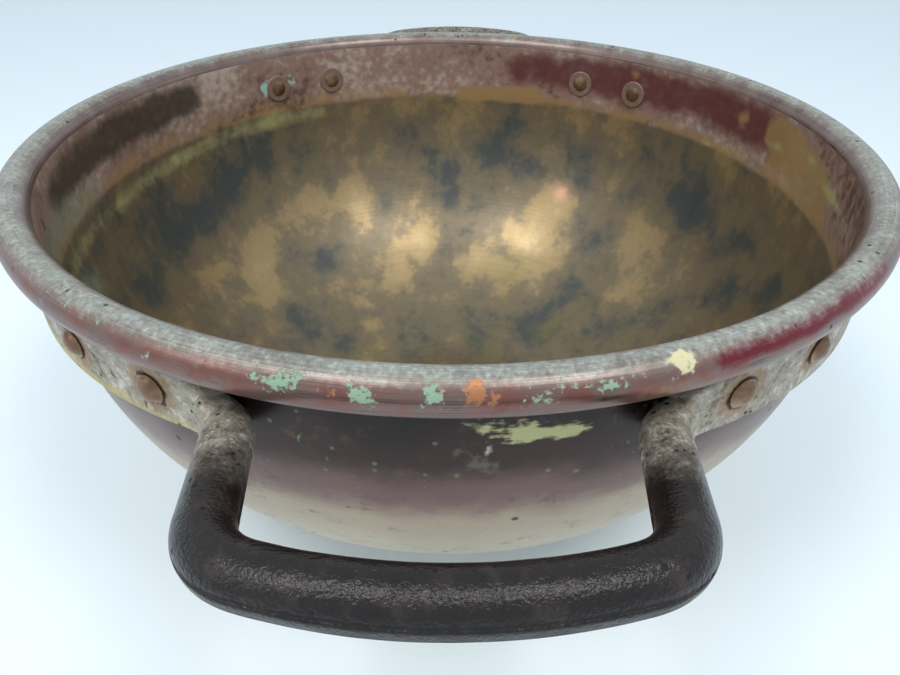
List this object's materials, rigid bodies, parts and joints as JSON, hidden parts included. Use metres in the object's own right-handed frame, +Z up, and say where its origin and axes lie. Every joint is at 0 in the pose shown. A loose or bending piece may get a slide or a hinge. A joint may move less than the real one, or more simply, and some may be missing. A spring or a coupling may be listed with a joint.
{
  "type": "mixing bowl",
  "caption": "Round-bottomed copper mixing bowl with a wired rim, forged iron carrying handles and riveted flanges.",
  "frame": {"origin": "centre of the flat base, on the surface that the bowl stands on", "axes": "+Z up along the bowl's axis, Y through the two handles with the front handle on -Y, +X to the right seen from the front"},
  "size_m": [0.43, 0.5529, 0.202],
  "materials": {
    "copper": "old copper sheet with mixed patina, satin",
    "wire": "plain iron wire, hidden in the roll",
    "iron": "forged, dark brown, worn semi-gloss",
    "rivet_copper": "brown copper, satin"
  },
  "bodies": {
    "root": {"bowl_shell": "copper", "rim_wire": "wire", "front_handle": "iron", "rear_handle": "iron", "front_left_inner_rivet": "rivet_copper", "front_left_outer_rivet": "rivet_copper", "front_right_inner_rivet": "rivet_copper", "front_right_outer_rivet": "rivet_copper", "rear_left_inner_rivet": "rivet_copper", "rear_left_outer_rivet": "rivet_copper", "rear_right_inner_rivet": "rivet_copper", "rear_right_outer_rivet": "rivet_copper", "front_left_inner_burr": "rivet_copper", "front_left_outer_burr": "rivet_copper", "front_right_inner_burr": "rivet_copper", "front_right_outer_burr": "rivet_copper", "rear_left_inner_burr": "rivet_copper", "rear_left_outer_burr": "rivet_copper", "rear_right_inner_burr": "rivet_copper", "rear_right_outer_burr": "rivet_copper"}
  },
  "joints": []
}
